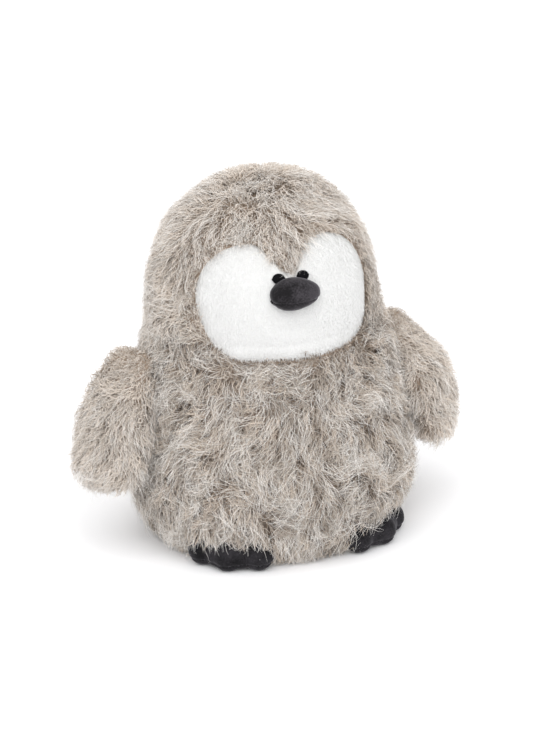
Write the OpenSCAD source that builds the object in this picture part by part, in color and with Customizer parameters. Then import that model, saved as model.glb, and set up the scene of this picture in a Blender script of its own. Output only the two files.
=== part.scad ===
// Standing baby penguin, a stuffed toy with long curly fur.
// Millimetres. It faces -Y, +X is the penguin's own left, +Z is up,
// and the origin is the middle of the flat base panel on the floor.
// The pile isn't drawn: every fur panel stops at its woven backing.

/* [Body] */
// Height of the stuffed body, to the top of the head
body_h = 283; // [230:1:345]
// Radius of the flat base panel
base_r = 74; // [64:1:88]
// Radius of the body where it is widest
body_r = 105; // [92:1:126]
// Height of the widest place
body_z = 66; // [50:1:80]
// Radius of the head at the cheeks
cheek_r = 83.5; // [72:0.5:96]
// Height of the cheeks
cheek_z = 192; // [176:1:222]
// How full the dome of the head is
dome_full = 50; // [40:1:60]

/* [Fabric] */
// Thickness of the fur fabric's backing
fur_t = 1.5; // [1:0.1:2.5]
// Thickness of the short velour of the feet, beak and base
velour_t = 1.2; // [0.8:0.1:1.8]
// Clearance between two panels along a seam
seam_gap = 0.3; // [0.2:0.05:0.5]
// Clearance between a piece and what it lies against
fit_gap = 0.3; // [0.2:0.05:0.5]

/* [Face] */
// Lowest point of the white face
face_low_z = 164.5; // [158:0.5:172]
// Half of the face's width, seen from the front
face_half_w = 65; // [54:1:69]
// Height of the face from its lowest point to the lobes
face_h = 86; // [76:1:92]
// How far the widow's peak reaches down between the lobes
peak_drop = 16; // [8:1:20]
// Half of the width of the crown strip
crown_half_w = 16; // [12:0.5:22]
// Height of the seam between body and head panels
neck_z = 176; // [172:1:184]

/* [Beak and eyes] */
// Length of the beak from corner to corner
beak_w = 36; // [30:1:43]
// Thickness of the stuffed beak
beak_d = 25; // [21:0.5:30]
// Height of the beak's middle
beak_z = 213.5; // [210:0.5:220]
// How far the beak's middle stands off the face
beak_out = 7; // [3:0.5:9]
// Height of the beak's seam above its middle
beak_seam = -4; // [-6:0.5:0]
// Diameter of an embroidered eye
eye_d = 9; // [7:0.5:11]
// Thickness of the embroidery
eye_t = 1.2; // [0.8:0.1:1.6]
// Half of the distance between the eyes
eye_x = 10.5; // [9:0.5:13]

/* [Wings] */
// Height of a wing's root seam, its hinge
wing_z = 147; // [132:1:158]
// Radius of the rolled root of a wing
wing_root_r = 8; // [6.5:0.1:9.6]
// Half of the length of the root seam
wing_root_half = 13; // [10:1:16]
// Length of a wing from its hinge to the tip's middle
wing_l = 74; // [62:1:90]
// Half of the thickness of the wing at its middle
wing_mid_r = 11.5; // [10:0.5:14]
// Half of the spread of the wing at its middle
wing_mid_half = 17; // [14:1:21]
// Half of the thickness of the wing at its tip
wing_tip_r = 13; // [11:0.5:15]
// Half of the spread of the wing at its tip
wing_tip_half = 13; // [11:1:16]
// How far the wing's broad side is turned to the front, in degrees
wing_turn = 30; // [22:1:36]
// Clearance between the wing's root and the body
wing_gap = 1; // [0.6:0.1:1.6]
// Clearance between the middle of the wing and the body
wing_mid_gap = 6.5; // [6:0.5:9]
// Clearance between the wing's tip and the body
wing_tip_gap = 8.5; // [8:0.5:12]

/* [Feet] */
// Radius of a stuffed toe
toe_r = 11; // [9:0.1:13.2]
// How far the front toe's middle stands out past the body's widest place
toe_out = -1; // [-6:0.5:8]
// Distance from the foot's middle line to an outer toe's middle
toe_spread = 23; // [20:0.5:27]
// How far the outer toes lie behind the middle toe
toe_back = 7; // [5:0.5:9]
// Radius of the pad that joins the toes
pad_r = 27; // [22:1:31]
// Thickness of that pad
pad_t = 17; // [14:0.5:20]
// Direction of a foot, in degrees from straight ahead
foot_dir = 37; // [32:1:42]
// Height of a foot's seam
foot_seam_z = 6; // [4:0.5:9]
// Clearance between the sole and the floor
sole_gap = 0.3; // [0.2:0.05:0.5]

/* [Filling and label] */
// Radius of the bean pouch in the base
pouch_r = 64; // [54:1:76]
// Height of the bean pouch
pouch_h = 20; // [16:1:24]
// Thickness of the pouch cloth
pouch_t = 0.8; // [0.5:0.1:1.2]
// Width of the blank sewn-in tab
tab_w = 14; // [10:1:20]
// Length of the tab outside the seam
tab_l = 24; // [18:1:30]
// Thickness of the folded tab
tab_t = 1; // [0.8:0.1:1.4]
// Height of the tab's middle
tab_z = 34; // [26:1:50]

/* [Hidden] */
$fn = 96;

fur_color = "#b2a69b";
face_color = "#f2f2ef";
velour_color = "#4a484b";
thread_color = "#141414";
fill_color = "#f7f5ee";
pouch_color = "#d9d4c8";
pellet_color = "#e8e8e4";
tab_color = "#fafafa";

far = 400;              // reaches past the whole toy
arc_steps = 10;         // straight steps in each curve of the body's outline
face_steps = 6;         // straight steps in each curve of the face's outline
hull_fn = 24;           // roundness of the wings' blended ends
edge_fn = 48;           // roundness of the rounded edges of the pouch and the foot pads
beak_fn = 64;           // roundness of the beak
beak_step = 7.5;        // degrees between two points of the beak's outline

base_flare = 0.55;      // how far the base's curve runs flat before it turns up
waist_share = 0.38;     // how far the sides run straight up and down at belly and cheeks
dome_share = 0.55;      // how far the dome runs straight up from the cheeks
face_mid_share = 0.47;  // where the face is widest, as a share of its height
lobe_share = 0.42;      // where a lobe is highest, as a share of the face's half width
chin_share = 0.46;      // where the chin turns up, as a share of the same
wing_mid_share = 0.52;  // where the wing's middle row is, as a share of its length
beak_full = 0.85;       // how blunt the beak's corners are; 1 is an ellipse

function bezier(a, b, c, d, n) =
    [for (i = [0:n]) let (t = i / n, u = 1 - t)
        u * u * u * a + 3 * u * u * t * b + 3 * u * t * t * c + t * t * t * d];
function tail(list) = [for (i = [1:len(list) - 1]) list[i]];
function backwards(list) = [for (i = [len(list) - 1:-1:0]) list[i]];
function unit(v) = v / norm(v);

// The body's outline, [radius, height], from the base's rim over the widest
// place and the cheeks to the top of the head.
belly_rise = (cheek_z - body_z) * waist_share;
dome_h = body_h - cheek_z;
body_outline = concat(
    bezier([base_r, 0], [base_r + (body_r - base_r) * base_flare, 0],
        [body_r, body_z * 0.5], [body_r, body_z], arc_steps),
    tail(bezier([body_r, body_z], [body_r, body_z + belly_rise],
        [cheek_r + 1, cheek_z - belly_rise], [cheek_r, cheek_z], arc_steps)),
    tail(bezier([cheek_r, cheek_z], [cheek_r - 1, cheek_z + dome_h * dome_share],
        [dome_full, body_h], [0, body_h], arc_steps)));
outline_last = len(body_outline) - 1;

// The outline's outward direction at point i, square to its two neighbours.
function out_dir(i) =
    i == outline_last ? [0, 1]
    : let (a = body_outline[max(i - 1, 0)], b = body_outline[i + 1], s = unit(b - a)) [s[1], -s[0]];
function body_line(grow) = [for (i = [0:outline_last]) body_outline[i] + grow * out_dir(i)];
function radius_at(z) = lookup(z, [for (p = body_outline) [p[1], p[0]]]);

// A solid body grown by a distance, or shrunk by a negative one.
module body_form(grow) {
    line = body_line(grow);
    rotate_extrude() polygon(concat([[0, line[0][1]]], line));
}

// The woven skin of the whole body, above the base panel.
module body_skin() {
    intersection() {
        rotate_extrude() polygon(concat(body_line(0), backwards(body_line(-fur_t))));
        slab(velour_t + seam_gap, far);
    }
}
module slab(z0, z1) { translate([-far / 2, -far / 2, z0]) cube([far, far, z1 - z0]); }
module block(x0, x1, y0, y1, z0, z1) { translate([x0, y0, z0]) cube([x1 - x0, y1 - y0, z1 - z0]); }

// The face's outline seen from the front: two lobes, a notch and a round chin.
lobe_z = face_low_z + face_h;
cheek_face_z = face_low_z + face_h * face_mid_share;
lobe_x = face_half_w * lobe_share;
face_right_half = concat(
    bezier([0, lobe_z - peak_drop], [2, lobe_z - peak_drop * 0.2],
        [lobe_x * 0.48, lobe_z], [lobe_x, lobe_z], face_steps),
    tail(bezier([lobe_x, lobe_z], [face_half_w * 0.72, lobe_z],
        [face_half_w, cheek_face_z + face_h * 0.32], [face_half_w, cheek_face_z], face_steps)),
    tail(bezier([face_half_w, cheek_face_z], [face_half_w, cheek_face_z - face_h * 0.28],
        [face_half_w * 0.8, face_low_z + 1], [face_half_w * chin_share, face_low_z + 0.5], face_steps)),
    [[0, face_low_z]]);
face_line = concat(face_right_half,
    [for (i = [len(face_right_half) - 2:-1:1]) [-face_right_half[i][0], face_right_half[i][1]]]);
face_middle = [0, cheek_face_z];

// The face's column, grown by a distance so that the fur keeps clear of it.
module face_column(grow) {
    points = [for (p = face_line) p + grow * unit(p - face_middle)];
    rotate([90, 0, 0]) linear_extrude(far / 2) polygon(points);
}

module base_panel() { color(velour_color) cylinder(r = base_r, h = velour_t); }

module belly_panel() {
    color(fur_color) difference() {
        intersection() {
            body_skin();
            block(-far, far, -far, -seam_gap / 2, 0, neck_z - seam_gap / 2);
        }
        face_column(seam_gap);
    }
}

module back_panel(side) {
    mirror([side < 0 ? 1 : 0, 0, 0]) color(fur_color) intersection() {
        body_skin();
        block(seam_gap / 2, far, seam_gap / 2, far, 0, neck_z - seam_gap / 2);
    }
}
module back_panel_left() { back_panel(1); }
module back_panel_right() { back_panel(-1); }

module head_side(side) {
    mirror([side < 0 ? 1 : 0, 0, 0]) color(fur_color) difference() {
        intersection() {
            body_skin();
            block(crown_half_w + seam_gap / 2, far, -far, far, neck_z + seam_gap / 2, far);
        }
        face_column(seam_gap);
    }
}
module head_side_left() { head_side(1); }
module head_side_right() { head_side(-1); }

module crown_panel() {
    color(fur_color) difference() {
        intersection() {
            body_skin();
            block(-crown_half_w + seam_gap / 2, crown_half_w - seam_gap / 2,
                -far, far, neck_z + seam_gap / 2, far);
        }
        block(-far, far, -far, 0, 0, face_low_z + face_h / 2);
        face_column(seam_gap);
    }
}

module face_panel() {
    color(face_color) intersection() {
        body_skin();
        face_column(0);
    }
}

// Filling: loose fibre over a pouch of pellets that keeps the toy upright.
pouch_z = velour_t + fit_gap;
module body_stuffing() {
    color(fill_color) intersection() {
        body_form(-fur_t - fit_gap);
        slab(pouch_z + pouch_h + fit_gap, far);
    }
}
module pouch_form(inset) {
    edge_r = pouch_h / 2;
    translate([0, 0, pouch_z + edge_r]) {
        cylinder(r = pouch_r - edge_r, h = 2 * (edge_r - inset), center = true);
        rotate_extrude() translate([pouch_r - edge_r, 0]) circle(r = edge_r - inset, $fn = edge_fn);
    }
}
module bean_pouch() {
    color(pouch_color) difference() {
        pouch_form(0);
        pouch_form(pouch_t);
    }
}
module bean_pellets() { color(pellet_color) pouch_form(pouch_t + fit_gap); }

// Face trim. The beak is a spindle across the face, cut to lie on the skin.
beak_y = -(radius_at(beak_z) + beak_out);
module beak_form(inset) {
    half = beak_w / 2;
    thick = beak_d / 2;
    line = [for (a = [-90:beak_step:90])
        [(thick - inset) * pow(cos(a), beak_full), (half - inset) * sin(a)]];
    translate([0, beak_y, beak_z]) rotate([0, 90, 0]) rotate_extrude($fn = beak_fn) polygon(line);
}
module beak_shell() {
    difference() {
        beak_form(0);
        beak_form(velour_t);
        body_form(fit_gap);
    }
}
module beak_top() {
    color(velour_color) intersection() {
        beak_shell();
        slab(beak_z + beak_seam + seam_gap / 2, far);
    }
}
module beak_bottom() {
    color(velour_color) intersection() {
        beak_shell();
        slab(0, beak_z + beak_seam - seam_gap / 2);
    }
}
module beak_stuffing() {
    color(fill_color) difference() {
        beak_form(velour_t + fit_gap);
        body_form(fit_gap);
    }
}

// The eyes are flat patches that lie on the skin just above the beak's edge.
beak_r_by_eye = beak_d / 2 * pow(1 - pow((eye_x - eye_d / 4) / (beak_w / 2), 2), beak_full / 2);
skin_recess = radius_at(beak_z) - radius_at(beak_z + beak_r_by_eye);
beak_off = max(beak_out + skin_recess - fit_gap - eye_t, 0);   // from the eyes' front to the beak's middle
eye_z = beak_z + sqrt(pow(beak_r_by_eye, 2) - pow(beak_off, 2)) + fit_gap + eye_d / 2;
module eye(side) {
    face_r = radius_at(eye_z);
    turn = side * asin(eye_x / face_r);
    slope = atan((radius_at(eye_z - eye_d / 2) - radius_at(eye_z + eye_d / 2)) / eye_d);
    color(thread_color) rotate([0, 0, turn]) translate([0, -face_r, eye_z]) rotate([90 - slope, 0, 0])
        translate([0, 0, fit_gap]) cylinder(r = eye_d / 2, h = eye_t);
}
module eye_left() { eye(1); }
module eye_right() { eye(-1); }

// Wings. Each hangs from a straight root seam, its hinge line, and is blended
// over three rows: root, middle and tip. Each row keeps its clearance to the
// body beside it, whatever the body's shape.
wing_x = row_x(0, wing_root_half, wing_root_r, wing_gap);
wing_mid_drop = wing_l * wing_mid_share;
wing_mid_out = (row_x(wing_mid_drop, wing_mid_half, wing_mid_r, wing_mid_gap) - wing_x) / cos(wing_turn);
wing_tip_out = (row_x(wing_l, wing_tip_half, wing_tip_r, wing_tip_gap) - wing_x) / cos(wing_turn);
function row_x(drop, half, r, gap) = radius_at(wing_z - drop) + r + gap + half * sin(wing_turn);
module at_wing() { translate([wing_x, 0, wing_z]) rotate([0, 0, -wing_turn]) children(); }
module wing_row(out, down, half, r) {
    for (s = [-1, 1]) translate([out, s * half, -down]) sphere(r = r, $fn = hull_fn);
}
module wing_form(inset) {
    hull() {
        wing_row(0, 0, wing_root_half, wing_root_r - inset);
        wing_row(wing_mid_out, wing_mid_drop, wing_mid_half, wing_mid_r - inset);
        wing_row(wing_tip_out, wing_l, wing_tip_half, wing_tip_r - inset);
    }
}
// Half-space outside the wing's edge seam, which follows the hang of the wing.
wing_hang = atan(wing_tip_out / wing_l);
module wing_outside(shift) {
    rotate([0, -wing_hang, 0]) translate([shift, -far / 2, -far / 2]) cube([far / 2, far, far]);
}
module wing_outer(side) {
    mirror([side < 0 ? 1 : 0, 0, 0]) color(fur_color) at_wing() intersection() {
        difference() { wing_form(0); wing_form(fur_t); }
        wing_outside(seam_gap / 2);
    }
}
module wing_inner(side) {
    mirror([side < 0 ? 1 : 0, 0, 0]) color(fur_color) at_wing() difference() {
        wing_form(0);
        wing_form(fur_t);
        wing_outside(-seam_gap / 2);
    }
}
module wing_stuffing(side) {
    mirror([side < 0 ? 1 : 0, 0, 0]) color(fill_color) at_wing() wing_form(fur_t + fit_gap);
}
module wing_left_outer() { wing_outer(1); }
module wing_left_inner() { wing_inner(1); }
module wing_left_stuffing() { wing_stuffing(1); }
module wing_right_outer() { wing_outer(-1); }
module wing_right_inner() { wing_inner(-1); }
module wing_right_stuffing() { wing_stuffing(-1); }

// Feet. Three stuffed toes fan out from a heel that the body covers.
toe_reach = body_r + toe_out;
heel_reach = base_r - toe_r;
module toe(reach, spread, r) {
    l = norm([reach - heel_reach, spread]);
    translate([0, -heel_reach, toe_r + sole_gap]) {
        sphere(r = r);
        rotate([90, 0, atan2(spread, reach - heel_reach)]) {
            cylinder(r = r, h = l);
            translate([0, 0, l]) sphere(r = r);
        }
    }
}
module foot_pad(inset) {
    edge_r = pad_t / 2;
    translate([0, toe_back + toe_r - toe_reach, toe_r + sole_gap]) {
        cylinder(r = pad_r - edge_r, h = 2 * (edge_r - inset), center = true);
        rotate_extrude() translate([pad_r - edge_r, 0]) circle(r = edge_r - inset, $fn = edge_fn);
    }
}
module foot_form(inset) {
    difference() {
        union() {
            foot_pad(inset);
            toe(toe_reach, 0, toe_r - inset);
            for (s = [-1, 1]) toe(toe_reach - toe_back, s * toe_spread, toe_r - inset);
        }
        body_form(fit_gap);
    }
}
module foot_place(side) { rotate([0, 0, side * foot_dir]) children(); }
module foot_top(side) {
    color(velour_color) foot_place(side) intersection() {
        difference() { foot_form(0); foot_form(velour_t); }
        slab(foot_seam_z + seam_gap / 2, far);
    }
}
module foot_sole(side) {
    color(velour_color) foot_place(side) intersection() {
        difference() { foot_form(0); foot_form(velour_t); }
        slab(0, foot_seam_z - seam_gap / 2);
    }
}
module foot_stuffing(side) { color(fill_color) foot_place(side) foot_form(velour_t + fit_gap); }
module foot_left_top() { foot_top(1); }
module foot_left_sole() { foot_sole(1); }
module foot_left_stuffing() { foot_stuffing(1); }
module foot_right_top() { foot_top(-1); }
module foot_right_sole() { foot_sole(-1); }
module foot_right_stuffing() { foot_stuffing(-1); }

// A blank folded tab, caught in the seam down the middle of the back.
module care_tab() {
    color(tab_color) difference() {
        block(-tab_t / 2, tab_t / 2, radius_at(tab_z) - body_r / 10, radius_at(tab_z) + tab_l,
            tab_z - tab_w / 2, tab_z + tab_w / 2);
        body_form(fit_gap);
    }
}

base_panel();
belly_panel();
back_panel_left();
back_panel_right();
head_side_left();
head_side_right();
crown_panel();
face_panel();
body_stuffing();
bean_pouch();
bean_pellets();
eye_left();
eye_right();
beak_top();
beak_bottom();
beak_stuffing();
wing_left_outer();
wing_left_inner();
wing_left_stuffing();
wing_right_outer();
wing_right_inner();
wing_right_stuffing();
foot_left_top();
foot_left_sole();
foot_left_stuffing();
foot_right_top();
foot_right_sole();
foot_right_stuffing();
care_tab();
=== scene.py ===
# %% [markdown]
# # A plush baby penguin
# A stuffed toy with long curly fur, a short white face, a dark velour beak and two velour
# feet. The CAD frame gives every panel's place and size. This lesson grows the looks on it:
# first the sewn and stuffed skins, then the fur, then the face and the feet.
#
# # Load the frame
# The frame is loaded once.

# %% Load the frame
import math

import bmesh
import bpy
import numpy as np
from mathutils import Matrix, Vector
from mathutils.bvhtree import BVHTree


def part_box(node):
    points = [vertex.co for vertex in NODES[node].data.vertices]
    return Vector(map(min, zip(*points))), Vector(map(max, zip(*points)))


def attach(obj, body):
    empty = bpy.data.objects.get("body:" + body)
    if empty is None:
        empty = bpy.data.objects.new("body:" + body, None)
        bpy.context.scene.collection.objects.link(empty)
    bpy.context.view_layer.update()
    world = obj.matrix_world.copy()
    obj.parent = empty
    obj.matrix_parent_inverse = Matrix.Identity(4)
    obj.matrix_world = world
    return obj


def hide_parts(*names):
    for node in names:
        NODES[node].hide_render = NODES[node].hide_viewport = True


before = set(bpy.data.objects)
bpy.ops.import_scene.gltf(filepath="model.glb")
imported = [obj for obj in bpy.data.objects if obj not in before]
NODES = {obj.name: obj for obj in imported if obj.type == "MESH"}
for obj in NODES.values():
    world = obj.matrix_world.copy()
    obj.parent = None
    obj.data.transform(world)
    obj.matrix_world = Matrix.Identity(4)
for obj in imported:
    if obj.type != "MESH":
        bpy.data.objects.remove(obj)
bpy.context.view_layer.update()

MM = 0.001
SEED = 7

# %% [markdown]
# # Camera, floor and light
# A product shot wants a long lens from slightly above, and a bright pale floor that the toy
# stands on. A large soft key light from the left front and a white world around it give the
# fur shape without hard shadows.

# %% Camera
CAMERA_TURN = math.radians(-16.5)
CAMERA_RISE = math.radians(19.5)
CAMERA_ROLL = math.radians(-2.8)
CAMERA_AWAY = 1.6
CAMERA_LENS = 97.7
AIM = Vector((0.0, 0.0, 0.1228))


def place_camera():
    towards = Vector((math.sin(CAMERA_TURN) * math.cos(CAMERA_RISE),
                      -math.cos(CAMERA_TURN) * math.cos(CAMERA_RISE),
                      math.sin(CAMERA_RISE)))
    lens = bpy.data.cameras.new("camera")
    lens.lens = CAMERA_LENS
    camera = bpy.data.objects.new("camera", lens)
    camera.location = AIM + towards * CAMERA_AWAY
    camera.rotation_euler = (-towards).to_track_quat("-Z", "Y").to_euler()
    camera.rotation_euler.rotate_axis("Z", CAMERA_ROLL)
    bpy.context.scene.collection.objects.link(camera)
    bpy.context.scene.camera = camera
    return camera


camera = place_camera()
print("camera at", [round(x, 3) for x in camera.location])


# %% Floor and light
def plain_material(name, color, roughness=0.9):
    material = bpy.data.materials.new(name)
    material.use_nodes = True
    shader = material.node_tree.nodes["Principled BSDF"]
    shader.inputs["Base Color"].default_value = (*color, 1.0)
    shader.inputs["Roughness"].default_value = roughness
    return material


def soft_light(name, came_from, spread, power):
    """A very wide sun: even light on the whole floor, and a soft shadow under the toy."""
    data = bpy.data.lights.new(name, "SUN")
    data.angle = math.radians(spread)
    data.energy = power
    light = bpy.data.objects.new(name, data)
    light.location = came_from
    light.rotation_euler = (-Vector(came_from)).to_track_quat("-Z", "Y").to_euler()
    bpy.context.scene.collection.objects.link(light)
    return light


FLOOR_HALF = 6.0
WORLD_STRENGTH = 0.95


def studio():
    mesh = bpy.data.meshes.new("floor")
    half = FLOOR_HALF
    mesh.from_pydata([(-half, -half, 0), (half, -half, 0), (half, half, 0), (-half, half, 0)],
                     [], [(0, 1, 2, 3)])
    floor = bpy.data.objects.new("floor", mesh)
    floor.data.materials.append(plain_material("floor_white", (0.93, 0.93, 0.94)))
    bpy.context.scene.collection.objects.link(floor)
    world = bpy.data.worlds.new("studio")
    world.use_nodes = True
    sky = world.node_tree.nodes["Background"]
    sky.inputs["Color"].default_value = (1.0, 1.0, 1.0, 1.0)
    sky.inputs["Strength"].default_value = WORLD_STRENGTH
    bpy.context.scene.world = world
    soft_light("key", (-0.5, -0.9, 1.6), 70, 1.5)
    soft_light("fill", (0.9, -1.2, 0.9), 60, 0.5)
    bpy.context.scene.view_settings.view_transform = "Standard"


studio()


# %% [markdown]
# # Helpers for meshes and node trees
# Most pieces start as points in numpy and become a mesh with one call. Node trees are long to
# write one node at a time, so a Field wraps an output socket: adding or multiplying two
# fields makes the math node for it, in a geometry tree and in a shader tree alike.

# %% Mesh helpers
def placed(name, mesh):
    """A new object of this mesh, in the scene."""
    piece = bpy.data.objects.new(name, mesh)
    bpy.context.scene.collection.objects.link(piece)
    return piece


def mesh_object(name, points, faces):
    mesh = bpy.data.meshes.new(name)
    mesh.from_pydata(np.asarray(points, float).tolist(), [], [list(map(int, f)) for f in faces])
    mesh.validate()
    mesh.shade_smooth()
    return placed(name, mesh)


def points_of(piece):
    flat = np.empty(len(piece.data.vertices) * 3)
    piece.data.vertices.foreach_get("co", flat)
    return flat.reshape(-1, 3)


def set_points(piece, points):
    piece.data.vertices.foreach_set("co", np.asarray(points, float).ravel())
    piece.data.update()


def normals_of(piece):
    flat = np.empty(len(piece.data.vertices) * 3)
    piece.data.vertex_normals.foreach_get("vector", flat)
    return flat.reshape(-1, 3)


def tree_of(*pieces):
    """One tree of all these pieces' faces, to cast rays at or find the nearest point on."""
    points, faces, start = [], [], 0
    for piece in pieces:
        points.extend(points_of(piece).tolist())
        faces.extend([tuple(start + v for v in p.vertices) for p in piece.data.polygons])
        start = len(points)
    return BVHTree.FromPolygons(points, faces)


def finished(piece):
    """The piece with its modifiers applied, as a plain mesh."""
    graph = bpy.context.evaluated_depsgraph_get()
    mesh = bpy.data.meshes.new_from_object(piece.evaluated_get(graph))
    piece.modifiers.clear()
    old = piece.data
    piece.data = mesh
    bpy.data.meshes.remove(old)
    return piece


def remove(piece):
    bpy.data.objects.remove(piece)


WAVES = 9
RAY_START = 0.3          # metres; farther out than any part of the toy


def from_front(tree, x, z):
    """Where a ray from the front at this x and z first meets a tree, and the normal there."""
    return tree.ray_cast(Vector((x, -RAY_START, z)), Vector((0, 1, 0)))[:2]


def lumps(points, size, seed):
    """A smooth random value from about -1 to 1 at each point, made of a few sine waves."""
    rng = np.random.default_rng(seed)
    total = np.zeros(len(points))
    for _ in range(WAVES):
        direction = rng.normal(size=3)
        direction /= np.linalg.norm(direction)
        length = size * rng.uniform(0.7, 1.6)
        total += np.sin(points @ direction * (2 * math.pi / length) + rng.uniform(0, 2 * math.pi))
    return total / math.sqrt(WAVES) * 0.8


# %% Node-tree helpers
class Field:
    """An output socket that makes a math node when it is added, multiplied or the like."""

    def __init__(self, tree, socket):
        self.tree = tree
        self.socket = socket
        self.vector = socket.type in ("VECTOR", "RGBA")

    def math(self, operation, *others, vector=None):
        if vector is None:
            vector = self.vector or any(
                isinstance(o, tuple) or isinstance(o, Field) and o.vector for o in others)
        kind = "ShaderNodeVectorMath" if vector else "ShaderNodeMath"
        node = self.tree.nodes.new(kind)
        node.operation = operation
        for socket, value in zip(node.inputs, (self, *others)):
            feed(self.tree, socket, value)
        scalar = vector and operation in ("DOT_PRODUCT", "LENGTH", "DISTANCE")
        return Field(self.tree, node.outputs["Value" if scalar or not vector else "Vector"])

    def __add__(self, other):
        return self.math("ADD", other)

    def __sub__(self, other):
        return self.math("SUBTRACT", other)

    def __mul__(self, other):
        return self.math("MULTIPLY", other)

    def __truediv__(self, other):
        return self.math("DIVIDE", other)

    def power(self, other):
        return self.math("POWER", other)

    def unit(self):
        return self.math("NORMALIZE")


def feed(tree, socket, value):
    """Links a field to an input, or sets the input to a plain value."""
    if isinstance(value, Field):
        tree.links.new(value.socket, socket)
    elif isinstance(value, (int, float)) and socket.type in ("VECTOR", "RGBA"):
        socket.default_value = [value] * len(socket.default_value)
    else:
        socket.default_value = value


def node(tree, kind, inputs=(), out=0, **settings):
    """Adds a node, sets it up, feeds its inputs by name or number, and gives an output's field."""
    made = tree.nodes.new(kind)
    for key, value in settings.items():
        setattr(made, key, value)
    for key, value in dict(inputs).items():
        feed(tree, made.inputs[key], value)
    return Field(tree, made.outputs[out])


def named(tree, name, kind="FLOAT"):
    return node(tree, "GeometryNodeInputNamedAttribute", {"Name": name}, data_type=kind)


def store(tree, geometry, name, value, kind="FLOAT"):
    return node(tree, "GeometryNodeStoreNamedAttribute",
                {"Geometry": geometry, "Name": name, "Value": value},
                data_type=kind, domain="POINT")


def grown(piece, tree, **values):
    """Runs a geometry tree on a piece with these inputs, and leaves the plain mesh."""
    modifier = piece.modifiers.new(tree.name, "NODES")
    modifier.node_group = tree
    for item in tree.interface.items_tree:
        if item.item_type == "SOCKET" and item.in_out == "INPUT" and item.name in values:
            modifier[item.identifier] = values[item.name]
    return finished(piece)


print("helpers ready")

# %% [markdown]
# # The stuffed body
# The body is a pear sewn from panels and filled with loose fibre. Its outline is measured on
# the frame's own panels with rays, so it can't drift from the CAD. It is turned into a
# grid of rings, which is easier to comb fur on than a triangulated shell.

# %% Measure the outline on the CAD panels
SKIN_NODES = ["belly_panel", "back_panel_left", "back_panel_right", "head_side_left",
              "head_side_right", "crown_panel", "face_panel"]
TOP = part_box("crown_panel")[1].z
BODY_RINGS = 72
BODY_SPOKES = 144
SIDE_TURN = math.radians(130)    # a side of the body with no face, wing or tab on it
DOME_DROP = 85 * MM              # the head's dome is measured round a point this far down


def outline_from_cad():
    """[radius, height] from the base's rim to the top of the head."""
    panels = tree_of(*[NODES[n] for n in SKIN_NODES])
    side = Vector((math.cos(SIDE_TURN), math.sin(SIDE_TURN), 0))
    dome_z = TOP - DOME_DROP
    rows = []
    for z in np.arange(2 * MM, dome_z, 3 * MM):
        hit = panels.ray_cast(Vector((0, 0, z)) + side * RAY_START, -side)[0]
        if hit:
            rows.append((math.hypot(hit.x, hit.y), z))
    for angle in np.radians(np.arange(1, 90, 2.5)):
        out = side * math.cos(angle) + Vector((0, 0, math.sin(angle)))
        centre = Vector((0, 0, dome_z))
        hit = panels.ray_cast(centre + out * RAY_START, -out)[0]
        if hit:
            rows.append((math.hypot(hit.x, hit.y), hit.z))
    rows = [(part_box("base_panel")[1].x, 0.0)] + rows + [(0.0, TOP)]
    return np.array(rows)


def even_steps(line, count):
    """The same line with points at even distances along it."""
    step = np.linalg.norm(np.diff(line, axis=0), axis=1)
    along = np.concatenate([[0], np.cumsum(step)])
    wanted = np.linspace(0, along[-1], count)
    return np.stack([np.interp(wanted, along, line[:, k]) for k in range(line.shape[1])], 1)


outline = even_steps(outline_from_cad(), BODY_RINGS)
print("outline rings", len(outline), "widest mm", round(outline[:, 0].max() / MM, 1))


# %% Turn the outline into a closed body
def turned_form(name, rings, spokes, bottom_z, top_z):
    """A closed round form: rings of [radius, height] between a pole below and a pole above."""
    turns = np.arange(spokes) * 2 * math.pi / spokes
    ring = np.stack([np.sin(turns), -np.cos(turns)], 1)
    points = [np.column_stack([ring * r, np.full(spokes, z)]) for r, z in rings]
    points = np.vstack(points + [np.array([[0, 0, top_z], [0, 0, bottom_z]])])
    faces = []
    for row in range(len(rings) - 1):
        for k in range(spokes):
            a, b = row * spokes + k, row * spokes + (k + 1) % spokes
            faces.append((a, b, b + spokes, a + spokes))
    last, top, bottom = (len(rings) - 1) * spokes, len(rings) * spokes, len(rings) * spokes + 1
    for k in range(spokes):
        faces.append((last + k, last + (k + 1) % spokes, top))
        faces.append(((k + 1) % spokes, k, bottom))
    return mesh_object(name, points, faces)


body_shape = turned_form("body_shape", outline[:-1], BODY_SPOKES, 0.0, outline[-1, 1])
print("body grid", len(body_shape.data.vertices), "points")

# %% [markdown]
# # Stuff it
# A sewn skin isn't a smooth turned shape: the filling presses it out and the cloth answers with
# soft dents. A cloth simulation with air pressure in it does this. The points may travel only a
# few millimetres, so that the body keeps its size, and low lumps of fibre are added after.

# %% Cloth simulation of a stuffed piece
STUFFING_PRESSURE = 4.0
BODY_PRESSURE = 14.0     # the body's skin is larger and answers less
SIM_FRAMES = 20


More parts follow.
